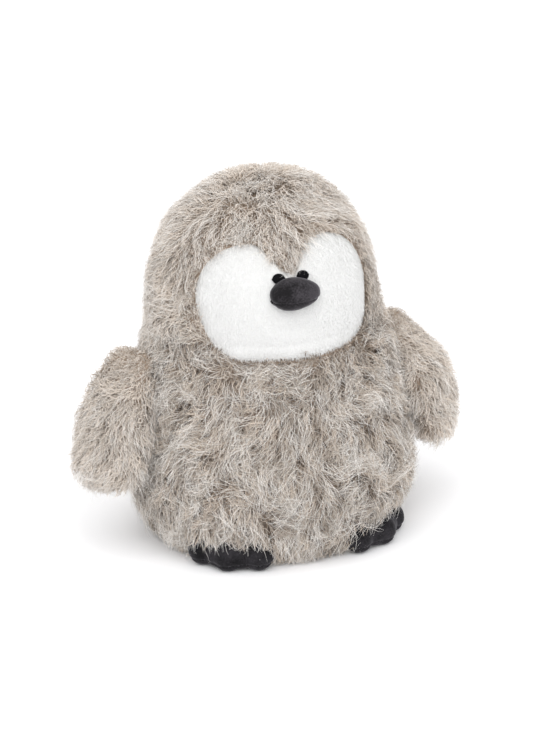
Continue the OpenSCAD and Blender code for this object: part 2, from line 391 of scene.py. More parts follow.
def stuffed(piece, most, pinned=None, pressure=STUFFING_PRESSURE):
    """Lets cloth settle round a filling; no point travels further than most."""
    start = points_of(piece).copy()
    cloth = piece.modifiers.new("cloth", "CLOTH")
    settings = cloth.settings
    settings.use_pressure = True
    settings.uniform_pressure_force = pressure
    settings.mass = 0.3
    settings.quality = 6
    settings.tension_stiffness = 25
    settings.compression_stiffness = 25
    settings.bending_stiffness = 2.0
    settings.effector_weights.gravity = 0.0
    if pinned is not None:
        group = piece.vertex_groups.new(name="pinned")
        group.add([int(v) for v in np.nonzero(pinned)[0]], 1.0, "REPLACE")
        settings.vertex_group_mass = "pinned"
    cloth.point_cache.frame_start = 1
    cloth.point_cache.frame_end = SIM_FRAMES
    scene = bpy.context.scene
    for frame_number in range(1, SIM_FRAMES + 1):
        scene.frame_set(frame_number)
    finished(piece)
    scene.frame_set(1)
    moved = points_of(piece) - start
    length = np.linalg.norm(moved, axis=1, keepdims=True)
    allowed = most * np.tanh(length / most)
    set_points(piece, start + moved * allowed / np.maximum(length, 1e-9))
    piece.vertex_groups.clear()
    print(piece.name, "travelled up to", round(float(allowed.max()) / MM, 2), "mm")
    return piece


def lumpy(piece, size, height, seed, share=1.0):
    """Raises and lowers a skin in soft lumps of this size and height."""
    points = points_of(piece)
    bump = lumps(points, size, seed)[:, None] * height * share
    set_points(piece, points + normals_of(piece) * bump)


BODY_TRAVEL = 3 * MM
LUMP_HEIGHT = 1.8 * MM
LUMP_SIZE = 70 * MM
on_floor = points_of(body_shape)[:, 2] < 2 * MM
stuffed(body_shape, BODY_TRAVEL, pinned=on_floor, pressure=BODY_PRESSURE)
above_base = np.clip(points_of(body_shape)[:, 2] / (20 * MM), 0, 1)[:, None]
lumpy(body_shape, LUMP_SIZE, LUMP_HEIGHT, SEED, share=above_base)
print("body is stuffed")


# %% [markdown]
# # Cut it into the sewn panels
# The same seams as in the CAD: a belly, two back halves, two sides of the head and a crown
# strip, with an opening for the white face. The planes cut the grid cleanly. The face's edge
# is found by shooting rays at the CAD's face panel from the front.

# %% The face's outline
FACE_RAYS = 120
CROWN_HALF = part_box("crown_panel")[1].x
NECK_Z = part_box("head_side_left")[0].z
face_low, face_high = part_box("face_panel")
FACE_MIDDLE = np.array([0.0, (face_low.z + face_high.z) / 2])


FACE_REACH = 100 * MM    # the search for the edge starts this far from the middle
HALVINGS = 14


def rim_of_face():
    """Distance from the middle to the panel's edge, seen from the front, in each direction."""
    shape = tree_of(NODES["face_panel"])
    turns = np.arange(FACE_RAYS) * 2 * math.pi / FACE_RAYS
    radii = []
    for turn in turns:
        near, away = 0.0, FACE_REACH
        for _ in range(HALVINGS):
            half = (near + away) / 2
            hit = from_front(shape, FACE_MIDDLE[0] + half * math.sin(turn),
                             FACE_MIDDLE[1] + half * math.cos(turn))[0]
            near, away = (half, away) if hit else (near, half)
        radii.append(near)
    return turns, np.array(radii)


PEAK_TIP = 18.5 * MM     # the widow's peak ends this far above the middle of the face
PEAK_TURN = math.radians(-4)
PEAK_SLOPE = 0.63        # how fast the peak widens upwards
PEAK_WIDE = 4 * MM       # its half width at the tip
CORNER_TURN = math.radians(128)
CORNER_SPREAD = math.radians(16)
CORNER_SHARE = 0.06      # the lower corners are this much squarer than the CAD's outline
LOBE_TURN = math.radians(30)
LOBE_SPREAD = math.radians(22)
LOBE_DROP = 4.0 * MM     # how far the fur hangs over the tops of the lobes
FLAT_SLOPE = 0.02        # below this the peak's side and the ray never meet


def dressed_rim(turns, radii):
    """The rim as the fur leaves it: a wide peak of fur between the lobes, and squarer corners."""
    turns = (turns - PEAK_TURN) % (2 * math.pi)
    turn = np.minimum(turns, 2 * math.pi - turns)
    drop = PEAK_SLOPE * PEAK_TIP - PEAK_WIDE
    slope = PEAK_SLOPE * np.cos(turn) - np.sin(turn)
    wedge = np.where(slope > FLAT_SLOPE, drop / np.maximum(slope, FLAT_SLOPE), 1.0)
    corner = 1 + CORNER_SHARE * np.exp(-((turn - CORNER_TURN) / CORNER_SPREAD) ** 2)
    lobe = LOBE_DROP * np.exp(-((turn - LOBE_TURN) / LOBE_SPREAD) ** 2)
    return np.minimum(radii * corner - lobe, np.maximum(wedge, PEAK_TIP))


rim_turns, cad_radii = rim_of_face()
rim_radii = dressed_rim(rim_turns, cad_radii)


FAR_AWAY = 0.2           # the gap given to a point that isn't on the front


def face_gap(points):
    """How far each point lies outside the face's edge, seen from the front; inside is negative."""
    dx, dz = points[:, 0] - FACE_MIDDLE[0], points[:, 2] - FACE_MIDDLE[1]
    turn = np.arctan2(dx, dz) % (2 * math.pi)
    edge = np.interp(turn, rim_turns, rim_radii, period=2 * math.pi)
    return np.where(points[:, 1] < 0, np.hypot(dx, dz) - edge, FAR_AWAY)


print("face edge radius mm", rim_radii.min() / MM, rim_radii.max() / MM)


# %% Cut the grid and label its faces
def bisected(bm, where, facing, **settings):
    """Cuts everything in a bmesh by a plane."""
    everything = bm.verts[:] + bm.edges[:] + bm.faces[:]
    return bmesh.ops.bisect_plane(bm, geom=everything, plane_co=where, plane_no=facing, **settings)


def cut_body(source):
    """A copy of the body's grid, cut along every straight seam, as points, faces and normals."""
    bm = bmesh.new()
    bm.from_mesh(source.data)
    planes = [((0, 0, NECK_Z), (0, 0, 1)), ((0, 0, 0), (0, 1, 0)), ((0, 0, 0), (1, 0, 0)),
              ((CROWN_HALF, 0, 0), (1, 0, 0)), ((-CROWN_HALF, 0, 0), (1, 0, 0))]
    for where, facing in planes:
        bisected(bm, where, facing, dist=0.2 * MM)
    bm.normal_update()
    bm.verts.ensure_lookup_table()
    points = np.array([v.co for v in bm.verts])
    normals = np.array([v.normal for v in bm.verts])
    faces = [[v.index for v in f.verts] for f in bm.faces]
    middles = np.array([f.calc_center_median() for f in bm.faces])
    bm.free()
    return points, normals, faces, middles


cut_points, cut_normals, cut_faces, middles = cut_body(body_shape)
in_face = face_gap(middles) < 0
side = middles[:, 0]
head = middles[:, 2] > NECK_Z
front = middles[:, 1] < 0
on_base = middles[:, 2] < 0.3 * MM
strip = head & (np.abs(side) < CROWN_HALF) & ((middles[:, 2] > FACE_MIDDLE[1]) | ~front)
panel_faces = {
    "belly": ~head & front,
    "back_left": ~head & ~front & (side > 0),
    "back_right": ~head & ~front & (side < 0),
    "head_left": head & ~strip & (side > 0),
    "head_right": head & ~strip & (side < 0),
    "crown": strip,
}
panel_faces = {name: mask & ~in_face & ~on_base for name, mask in panel_faces.items()}
print({name: int(mask.sum()) for name, mask in panel_faces.items()})


# %% Move the cut's edge onto the face's outline
def snap_to_face(points, faces, inside):
    """Moves the points between face and fur onto the face's edge, so the opening is clean."""
    touches_in = np.zeros(len(points), bool)
    touches_out = np.zeros(len(points), bool)
    for face, is_in in zip(faces, inside):
        (touches_in if is_in else touches_out)[face] = True
    edge = touches_in & touches_out & (points[:, 1] < 0)
    dx, dz = points[edge, 0] - FACE_MIDDLE[0], points[edge, 2] - FACE_MIDDLE[1]
    away = np.hypot(dx, dz)
    scale = (away - face_gap(points)[edge]) / away
    moved = points.copy()
    moved[edge, 0] = FACE_MIDDLE[0] + dx * scale
    moved[edge, 2] = FACE_MIDDLE[1] + dz * scale
    skin = tree_of(body_shape)
    for k in np.nonzero(edge)[0]:
        moved[k] = skin.find_nearest(Vector(moved[k]))[0]
    return moved


cut_points = snap_to_face(cut_points, cut_faces, in_face)


def chosen_faces(name, points, normals, faces, mask):
    """The chosen faces as a new open mesh, and the whole form's normals at its points."""
    chosen = [faces[k] for k in np.nonzero(mask)[0]]
    used = np.unique(np.concatenate([np.array(f) for f in chosen]))
    place = {int(v): k for k, v in enumerate(used)}
    return mesh_object(name, points[used], [[place[v] for v in f] for f in chosen]), normals[used]


def part_of_body(name, panel):
    return chosen_faces(name, cut_points, cut_normals, cut_faces, panel_faces[panel])


def backed(piece, thickness):
    """Gives an open skin its thickness, inwards."""
    solid = piece.modifiers.new("backing", "SOLIDIFY")
    solid.thickness = thickness
    solid.offset = -1
    return finished(piece)


FUR_BACKING = 1.5 * MM
SKIN_OF = {
    "belly": "belly_panel", "back_left": "back_panel_left", "back_right": "back_panel_right",
    "head_left": "head_side_left", "head_right": "head_side_right", "crown": "crown_panel",
}
skins = {}
for name, node_name in SKIN_OF.items():
    skin, _ = part_of_body(name + "_skin", name)
    skins[name] = backed(skin, FUR_BACKING)
print("skins", {k: len(v.data.polygons) for k, v in skins.items()})

# %% [markdown]
# # Fur
# Long pile is thousands of fine fibres that stand up from the backing, lean over the way they
# were combed, and gather into clumps. Real hair curves wouldn't survive the export, so each
# fibre is a flat tapering ribbon of real faces, made by one geometry tree that is grown on
# every panel. Two coats are grown: a dense undercoat that gives the colour and the soft
# outline, and longer pale guard hairs that curl over it.
#
# The panel carries four attributes into the tree: the smooth skin normal, the direction it
# is combed in, how long the pile is, and how far outside the face's edge it is.

# %% The fur tree
def inputs_for(tree, **sockets):
    """Adds the tree's named inputs, and gives a field for each."""
    fields = {}
    tree.interface.new_socket("Geometry", in_out="INPUT", socket_type="NodeSocketGeometry")
    for name, (kind, value) in sockets.items():
        item = tree.interface.new_socket(name, in_out="INPUT", socket_type="NodeSocket" + kind)
        if value is not None:
            item.default_value = value
    tree.interface.new_socket("Geometry", in_out="OUTPUT", socket_type="NodeSocketGeometry")
    source = tree.nodes.new("NodeGroupInput")
    for socket in source.outputs:
        if socket.name:
            fields[socket.name] = Field(tree, socket)
    return fields


def vector_of(tree, x=0.0, y=0.0, z=0.0):
    return node(tree, "ShaderNodeCombineXYZ", {"X": x, "Y": y, "Z": z})


def random_float(tree, low, high, seed):
    made = tree.nodes.new("FunctionNodeRandomValue")
    made.data_type = "FLOAT"
    feed(tree, made.inputs[2], low)
    feed(tree, made.inputs[3], high)
    feed(tree, made.inputs["Seed"], seed)
    return Field(tree, made.outputs[1])


def random_vector(tree, reach, seed):
    made = tree.nodes.new("FunctionNodeRandomValue")
    made.data_type = "FLOAT_VECTOR"
    made.inputs[0].default_value = (-reach, -reach, -reach)
    made.inputs[1].default_value = (reach, reach, reach)
    feed(tree, made.inputs["Seed"], seed)
    return Field(tree, made.outputs[0])


def scaled(field, factor):
    """A vector field times a number field."""
    made = field.tree.nodes.new("ShaderNodeVectorMath")
    made.operation = "SCALE"
    feed(field.tree, made.inputs[0], field)
    feed(field.tree, made.inputs["Scale"], factor)
    return Field(field.tree, made.outputs[0])


def along_skin(field, normal):
    """The part of a vector that lies in the skin."""
    return field - scaled(normal, field.math("DOT_PRODUCT", normal))


NOISE_SPREAD = 4.0       # noise stays near its middle value, so it is spread to about -1 to 1
LOWEST, HIGHEST = 0.7, 1.15      # how high the fibres stand, as shares of the height


def fur_tree(name, segments):
    tree = bpy.data.node_groups.new(name, "GeometryNodeTree")
    f = inputs_for(
        tree, density=("Float", 1e5), length=("Float", 0.02), height=("Float", 0.01),
        width=("Float", 0.001), uneven=("Float", 0.3), swirl=("Float", 0.6),
        swirl_size=("Float", 0.02), stray=("Float", 0.3), clump_size=("Float", 0.01),
        clump=("Float", 0.6), curl=("Float", 0.002), curls=("Float", 1.5), roll=("Float", 0.8),
        face_room=("Float", 0.0), floor=("Float", 0.0006), seed=("Int", SEED),
        material=("Material", None))
    seed = f["seed"]
    scatter = tree.nodes.new("GeometryNodeDistributePointsOnFaces")
    feed(tree, scatter.inputs["Mesh"], f["Geometry"])
    feed(tree, scatter.inputs["Density"], f["density"] * named(tree, "thick"))
    feed(tree, scatter.inputs["Seed"], seed)
    roots = Field(tree, scatter.outputs["Points"])
    too_near = named(tree, "face_gap").math("LESS_THAN", f["face_room"])
    roots = node(tree, "GeometryNodeDeleteGeometry", {"Geometry": roots, "Selection": too_near})

    # the skin, the clump and the direction at each root
    place = node(tree, "GeometryNodeInputPosition")
    normal = named(tree, "skin_n", "FLOAT_VECTOR").unit()
    cells = tree.nodes.new("ShaderNodeTexVoronoi")
    cells.voronoi_dimensions = "3D"
    fine = vector_of(tree, 1.0, 1.0, 1.0)
    per_size = fine.math("DIVIDE", f["clump_size"], vector=True)
    feed(tree, cells.inputs["Vector"], place * per_size)
    feed(tree, cells.inputs["Scale"], 1.0)
    feed(tree, cells.inputs["Randomness"], 1.0)
    centre = Field(tree, cells.outputs["Position"]) / per_size
    towards = along_skin(centre - place, normal)
    tone = node(tree, "ShaderNodeSeparateXYZ", {"Vector": Field(tree, cells.outputs["Color"])})
    per_swirl = fine.math("DIVIDE", f["swirl_size"], vector=True)
    noise = tree.nodes.new("ShaderNodeTexNoise")
    noise.noise_dimensions = "3D"
    feed(tree, noise.inputs["Vector"], centre * per_swirl)
    feed(tree, noise.inputs["Scale"], 1.0)
    feed(tree, noise.inputs["Detail"], 1.0)
    eddy = Field(tree, noise.outputs["Color"]) - vector_of(tree, 0.5, 0.5, 0.5)
    comb = named(tree, "comb", "FLOAT_VECTOR")
    lean = comb + scaled(eddy, f["swirl"] * NOISE_SPREAD) + scaled(
        random_vector(tree, 1.0, seed + 11), f["stray"])
    along = along_skin(lean, normal).unit()
    pull = along_skin(towards, along)
    long = f["length"] * named(tree, "pile") * (
        random_float(tree, 0.0, 1.0, seed + 12) * f["uneven"] * -1.0 + 1.0)
    high = f["height"] * named(tree, "pile") * random_float(tree, LOWEST, HIGHEST, seed + 13)
    for attribute, value, kind in (
            ("root", place, "FLOAT_VECTOR"), ("nrm", normal, "FLOAT_VECTOR"),
            ("way", along, "FLOAT_VECTOR"), ("pull", pull, "FLOAT_VECTOR"),
            ("long", long, "FLOAT"), ("high", high, "FLOAT"),
            ("phase", random_float(tree, 0.0, 2 * math.pi, seed + 14), "FLOAT"),
            ("turned", random_float(tree, -1.0, 1.0, seed + 15) * f["roll"], "FLOAT"),
            ("hair_rand", random_float(tree, 0.0, 1.0, seed + 16), "FLOAT"),
            ("hair_clump", tone, "FLOAT")):
        roots = store(tree, roots, attribute, value, kind)

    # one ribbon, put at every root and made real
    strip = tree.nodes.new("GeometryNodeMeshGrid")
    strip.inputs["Size X"].default_value = 1.0
    strip.inputs["Size Y"].default_value = 1.0
    strip.inputs["Vertices X"].default_value = 2
    strip.inputs["Vertices Y"].default_value = segments + 1
    flat = node(tree, "ShaderNodeSeparateXYZ", {"Vector": node(tree, "GeometryNodeInputPosition")})
    flat_y = Field(tree, flat.socket.node.outputs["Y"])
    ribbon = store(tree, Field(tree, strip.outputs["Mesh"]), "hair_u", flat)
    ribbon = store(tree, ribbon, "hair_v", flat_y + 0.5)
    hairs = node(tree, "GeometryNodeInstanceOnPoints", {"Points": roots, "Instance": ribbon})
    hairs = node(tree, "GeometryNodeRealizeInstances", {"Geometry": hairs})

    # bend every ribbon into its own hair
    u, v = named(tree, "hair_u"), named(tree, "hair_v")
    up, way = named(tree, "nrm", "FLOAT_VECTOR"), named(tree, "way", "FLOAT_VECTOR")
    across = way.math("CROSS_PRODUCT", up)
    phase = named(tree, "phase")
    wave = v * f["curls"] * (2 * math.pi) + phase
    swing = f["curl"] * v.power(0.7)
    sideways = wave.math("SINE") * swing
    in_out = wave.math("COSINE") * swing * 0.6
    rise = (v * -1.0 + 1.0).power(2.2) * -1.0 + 1.0
    bend = node(tree, "ShaderNodeMath", {0: rise, 1: named(tree, "high"), 2: in_out},
                operation="MULTIPLY_ADD")
    go = v.power(1.25) * named(tree, "long")
    gather = v.power(0.8) * f["clump"]
    spot = (named(tree, "root", "FLOAT_VECTOR") + scaled(way, go) + scaled(up, bend)
            + scaled(across, sideways) + scaled(named(tree, "pull", "FLOAT_VECTOR"), gather))
    taper = (v.power(1.8) * -0.85 + 1.0) * f["width"]
    turned = named(tree, "turned")
    flat_side = scaled(across, turned.math("COSINE")) + scaled(up, turned.math("SINE"))
    spot = spot + scaled(flat_side, taper * u)
    parts = tree.nodes.new("ShaderNodeSeparateXYZ")
    feed(tree, parts.inputs[0], spot)
    low = Field(tree, parts.outputs["Z"]).math("MAXIMUM", f["floor"])
    spot = vector_of(tree, Field(tree, parts.outputs["X"]), Field(tree, parts.outputs["Y"]), low)
    hairs = node(tree, "GeometryNodeSetPosition", {"Geometry": hairs, "Position": spot})
    facing = up + scaled(across, turned.math("SINE") * (u * 2.0 - turned) * 0.3) + scaled(way, 0.2)
    shading = tree.nodes.new("GeometryNodeSetMeshNormal")
    shading.mode = "FREE"
    shading.domain = "POINT"
    feed(tree, shading.inputs["Mesh"], hairs)
    feed(tree, shading.inputs["Custom Normal"], facing.unit())
    hairs = Field(tree, shading.outputs["Mesh"])
    for attribute in ("nrm", "root", "way", "pull", "long", "high", "phase", "turned", "hair_u",
                      "comb", "skin_n", "pile", "thick", "face_gap"):
        hairs = node(tree, "GeometryNodeRemoveAttribute", {"Geometry": hairs, "Name": attribute})
    hairs = node(tree, "GeometryNodeSetMaterial", {"Geometry": hairs, "Material": f["material"]})
    result = tree.nodes.new("NodeGroupOutput")
    feed(tree, result.inputs["Geometry"], hairs)
    return tree


undercoat_tree = fur_tree("undercoat", 5)
guard_tree = fur_tree("guard_hairs", 8)
print("fur trees have", len(undercoat_tree.nodes), "nodes each")


# %% Fur materials
def mixed(tree, factor, a, b):
    made = tree.nodes.new("ShaderNodeMix")
    made.data_type = "RGBA"
    feed(tree, made.inputs["Factor"], factor)
    for socket, value in ((made.inputs[6], a), (made.inputs[7], b)):
        feed(tree, socket, value if isinstance(value, Field) else (*value, 1.0))
    return Field(tree, made.outputs[2])


def attribute(tree, name):
    made = tree.nodes.new("ShaderNodeAttribute")
    made.attribute_name = name
    return Field(tree, made.outputs["Fac"])


def mapped(tree, value, from_low, from_high, to_low=0.0, to_high=1.0):
    return node(tree, "ShaderNodeMapRange", {
        "Value": value, "From Min": from_low, "From Max": from_high,
        "To Min": to_low, "To Max": to_high})


def hair_material(name, root, middle, tip, dark, patchy=0.86, sheen=0.4):
    """Hair that is darker at the root and frosted at the tip, a little different each hair."""
    material = plain_material(name, middle, 0.75)
    tree = material.node_tree
    shader = tree.nodes["Principled BSDF"]
    v, rand, clump = attribute(tree, "hair_v"), attribute(tree, "hair_rand"), attribute(
        tree, "hair_clump")
    lower = mixed(tree, mapped(tree, v, 0.05, 0.5), root, middle)
    color = mixed(tree, mapped(tree, v, 0.45, 1.0), lower, tip)
    shade = mapped(tree, rand, 0.0, 1.0, dark, 1.0)
    patch = mapped(tree, clump, 0.0, 1.0, patchy, 1.0)
    made = tree.nodes.new("ShaderNodeMix")
    made.data_type = "RGBA"
    made.blend_type = "MULTIPLY"
    made.inputs["Factor"].default_value = 1.0
    feed(tree, made.inputs[6], color)
    grey = shade * patch
    feed(tree, made.inputs[7], vector_of(tree, grey, grey, grey))
    tree.links.new(made.outputs[2], shader.inputs["Base Color"])
    shader.inputs["Sheen Weight"].default_value = sheen
    shader.inputs["Sheen Roughness"].default_value = 0.6
    shader.inputs["Specular IOR Level"].default_value = 0.2
    return material


BELLY_ROOT = (0.22, 0.158, 0.108)
BELLY_MIDDLE = (0.59, 0.487, 0.395)
BELLY_TIP = (0.81, 0.718, 0.625)
COAT_ROOT = (0.46, 0.37, 0.285)
COAT_MIDDLE = (0.74, 0.645, 0.555)
COAT_TIP = (0.86, 0.785, 0.71)
FROST_ROOT = (0.60, 0.505, 0.415)
FROST_MIDDLE = (0.90, 0.84, 0.775)
FROST_TIP = (0.99, 0.97, 0.94)
belly_look = hair_material("belly_undercoat", BELLY_ROOT, BELLY_MIDDLE, BELLY_TIP, 0.66, 0.62)
undercoat_look = hair_material("taupe_undercoat", COAT_ROOT, COAT_MIDDLE, COAT_TIP, 0.76, 0.82)
guard_look = hair_material("frosted_guard_hair", FROST_ROOT, FROST_MIDDLE, FROST_TIP, 0.78)
backing_look = plain_material("fur_backing", (0.36, 0.28, 0.215))
print("fur materials ready")

# %% [markdown]
# # Comb the body
# The pile runs down from the crown, and is brushed aside where it meets the face. It is short
# round the face so that the white stays clear, smoother on the head, and curlier on the belly.

# %% Comb and grow the body's fur
DOWN = np.array([0.0, 0.0, -1.0])
BACKWARD = np.array([0.0, 1.0, 0.0])


def in_skin(vectors, normals):
    flat = vectors - normals * (vectors * normals).sum(1, keepdims=True)
    return flat / np.maximum(np.linalg.norm(flat, axis=1, keepdims=True), 1e-6)


def give(piece, name, values):
    vector = values.ndim == 2
    layer = piece.data.attributes.new(name, "FLOAT_VECTOR" if vector else "FLOAT", "POINT")
    layer.data.foreach_set("vector" if vector else "value", values.astype(float).ravel())


def groom(base, normals, wanted, pile, thick, gap=FAR_AWAY):
    """Gives a base what the fur tree reads from it; single values are given to all points."""
    give(base, "skin_n", normals)
    give(base, "comb", in_skin(wanted, normals))
    for name, value in (("pile", pile), ("thick", thick), ("face_gap", gap)):
        give(base, name, np.broadcast_to(np.asarray(value, float), (len(normals),)))


def smooth_step(values, low, high):
    t = np.clip((values - low) / (high - low), 0, 1)
    return t * t * (3 - 2 * t)


FACE_TRIM = 22 * MM
PEAK_HALF = 18 * MM
PARTING = 30 * MM
FACE_EDGE = 9 * MM
FACE_LEAN = 0.45
HEM_FROM = 35 * MM       # the longest fur hangs over the feet, from here down
HEM_TO = 80 * MM
HEM_LONGER = 0.12
HEM_THICKER = 0.03
FACE_PILE_LENGTH = 0.60  # the pile's length at the face's edge
EYES_SHORTER = 0.5       # how much is taken off the fur over the eyes
HEAD_SHORTER = 0.15
HEAD_FROM, HEAD_TO = 190 * MM, 240 * MM
EYE_APART = 9.7 * MM     # half of the distance between the eyes
EYE_SHIFT = -2.6 * MM    # the eyes are sewn by hand, a touch to the toy's right
EYE_Z = 224.6 * MM
EYE_R = 4.6 * MM


def bare_spots(points):
    """How much pile there is: none where an eye is sewn on."""
    share = np.ones(len(points))
    for way in (1.0, -1.0):
        away = np.hypot(points[:, 0] - way * EYE_APART - EYE_SHIFT, points[:, 2] - EYE_Z)
        share *= smooth_step(away, EYE_R, EYE_R * 1.35)
    return share


def comb_body(piece, normals):
    points = points_of(piece)
    gap = face_gap(points)
    crown = np.exp(-((points[:, 0] ** 2 + points[:, 1] ** 2) / PARTING ** 2))
    crown *= points[:, 2] > FACE_MIDDLE[1]
    round_about = np.column_stack([-points[:, 1], points[:, 0], np.zeros(len(points))])
    round_about /= np.maximum(np.linalg.norm(round_about, axis=1, keepdims=True), 1e-6)
    wanted = DOWN + (0.5 * BACKWARD + 0.6 * round_about) * crown[:, None]
    away = points - np.array([FACE_MIDDLE[0], points[:, 1].mean(), FACE_MIDDLE[1]])
    away[:, 1] = 0
    away /= np.maximum(np.linalg.norm(away, axis=1, keepdims=True), 1e-6)
    edge = (1 - smooth_step(gap, 0, FACE_EDGE))[:, None]
    wanted = wanted * (1 - 0.6 * edge) - away * FACE_LEAN * edge
    peak = np.exp(-(points[:, 0] / PEAK_HALF) ** 2) * (points[:, 1] < 0) * smooth_step(
        points[:, 2], FACE_MIDDLE[1], FACE_MIDDLE[1] + 20 * MM)
    wanted = wanted * (1 - peak[:, None]) + DOWN * peak[:, None]
    pile = FACE_PILE_LENGTH + (1 - FACE_PILE_LENGTH) * smooth_step(gap, 0, FACE_TRIM)
    over_eyes = peak * (1 - smooth_step(points[:, 2], EYE_Z, EYE_Z + 4 * EYE_R))
    pile *= 1 - EYES_SHORTER * over_eyes
    pile *= 1.0 - HEAD_SHORTER * smooth_step(points[:, 2], HEAD_FROM, HEAD_TO)
    hem = 1 - smooth_step(points[:, 2], HEM_FROM, HEM_TO)
    pile *= 1.0 + HEM_LONGER * hem
    thick = 1.0 + 0.6 * crown + 0.5 * peak * (1 - smooth_step(gap, 0, FACE_TRIM))
    bare = np.where(points[:, 1] < 0, bare_spots(points), 1.0)
    groom(piece, normals, wanted, pile, (thick + HEM_THICKER * hem) * bare, gap)


UNDERCOAT = dict(density=0.34e6, length=13 * MM, height=9.5 * MM, width=0.85 * MM, uneven=0.5,
                 swirl=1.3, swirl_size=24 * MM, stray=0.6, clump_size=11 * MM, clump=0.5,
                 curl=2.2 * MM, curls=1.1, roll=0.9, face_room=0.6 * MM)
GUARD = dict(density=0.215e6, length=31 * MM, height=10.5 * MM, width=0.34 * MM, uneven=0.6,
             swirl=1.7, swirl_size=26 * MM, stray=0.30, clump_size=8.5 * MM, clump=0.8,
             curl=2.6 * MM, curls=0.8, roll=0.9, face_room=2.0 * MM)
CURLY = dict(swirl=2.3, stray=0.5, swirl_size=21 * MM)
SMOOTH = dict(swirl=1.4, stray=0.35, swirl_size=34 * MM)
BELLY_LENGTH = 0.85
STYLE = {"belly": CURLY, "back_left": {}, "back_right": {},
         "head_left": SMOOTH, "head_right": SMOOTH, "crown": SMOOTH}


def grow(name, base, tree, look, body, **values):
    piece = placed(name, base.data.copy())
    grown(piece, tree, material=look, **values)
    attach(piece, body)
    print(name, len(piece.data.polygons), "faces")
    return piece


for number, name in enumerate(SKIN_OF):
    base, normals = part_of_body(name + "_base", name)
    comb_body(base, normals)
    undercoat, guard = dict(UNDERCOAT, **STYLE[name]), dict(GUARD, **STYLE[name])
    if name == "belly":
        guard["length"] *= BELLY_LENGTH
    under_look = belly_look if name == "belly" else undercoat_look
    grow(name + "_undercoat", base, undercoat_tree, under_look, "body",
         seed=SEED + 100 * number, **undercoat)
    grow(name + "_guard_hairs", base, guard_tree, guard_look, "body",
         seed=SEED + 100 * number + 50, **guard)
    remove(base)
    skin = skins[name]
    skin.data.materials.append(backing_look)
    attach(skin, "body")
    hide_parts(SKIN_OF[name])

# %% [markdown]
# # Wings
# Each wing is a mitten of two fur panels sewn round the edge and stuffed. The CAD's two
# panels give its outline; a voxel remesh makes one even skin of them, the cloth simulation
# rounds it, and the seam is found again from which CAD panel each face lies nearest to.

# %% Wing helpers
def from_bmesh(name, bm):
    mesh = bpy.data.meshes.new(name)
    bm.to_mesh(mesh)
    bm.free()
    return placed(name, mesh)


def hull_of(name, *node_names):
    """One closed convex skin round these CAD nodes."""
    bm = bmesh.new()
    for node_name in node_names:
        bm.from_mesh(NODES[node_name].data)
    bmesh.ops.convex_hull(bm, input=bm.verts[:])
    loose = [v for v in bm.verts if not v.link_faces]
    bmesh.ops.delete(bm, geom=loose, context="VERTS")
    inner = [f for f in bm.faces if not f.calc_area()]
    bmesh.ops.delete(bm, geom=inner, context="FACES")
    return from_bmesh(name, bm)


def outward(piece):
    """Turns a closed form's faces outwards, if they aren't already."""
    bm = bmesh.new()
    bm.from_mesh(piece.data)
    volume = bm.calc_volume(signed=True)
    bm.free()
    if volume < 0:
        piece.data.flip_normals()
    return piece


def remeshed(piece, voxel, smooth_steps=0):
    remesh = piece.modifiers.new("remesh", "REMESH")
    remesh.mode = "VOXEL"
    remesh.voxel_size = voxel
    if smooth_steps:
        smooth = piece.modifiers.new("smooth", "SMOOTH")
        smooth.factor = 0.5
        smooth.iterations = smooth_steps
    finished(piece)
    piece.data.shade_smooth()
    return outward(piece)


def rounder(piece, reach):
    """Blows a form up evenly by this much, to make good what smoothing took off it."""
    set_points(piece, points_of(piece) + normals_of(piece) * reach)


def middles_of(piece):
    flat = np.empty(len(piece.data.polygons) * 3)
    piece.data.polygons.foreach_get("center", flat)
    return flat.reshape(-1, 3)


def nearer(piece, first, second):
    """For each face, whether it lies nearer the first CAD node than the second."""
    trees = [tree_of(NODES[n]) for n in (first, second)]
    middle = middles_of(piece)
    return np.array([trees[0].find_nearest(Vector(m))[3] < trees[1].find_nearest(Vector(m))[3]
                     for m in middle])


def part_of(piece, name, mask):
    faces = [list(p.vertices) for p in piece.data.polygons]
    return chosen_faces(name, points_of(piece), normals_of(piece), faces, mask)


def filling_of(piece, name, gap, cut_below=None):
    """A shrunken closed copy, for the fibre inside a skin."""
    points, normals = points_of(piece), normals_of(piece)
    faces = [list(p.vertices) for p in piece.data.polygons]
    inner = mesh_object(name, points - normals * gap, faces)
    if cut_below is not None:
        bm = bmesh.new()
        bm.from_mesh(inner.data)
        cut = bisected(bm, (0, 0, cut_below), (0, 0, -1), clear_outer=True)
        edges = [e for e in cut["geom_cut"] if isinstance(e, bmesh.types.BMEdge)]
        bmesh.ops.contextual_create(bm, geom=edges)
        bm.to_mesh(inner.data)
        bm.free()
    return inner


def piece_done(piece, body, slot_name, look, *node_names, fill=None):
    """What every finished piece needs: a material and a body; the CAD parts it stands for are
    hidden.
    """
    piece.data.materials.clear()
    piece.data.materials.append(look)
    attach(piece, body)
    if node_names:
        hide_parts(*node_names)
    return piece


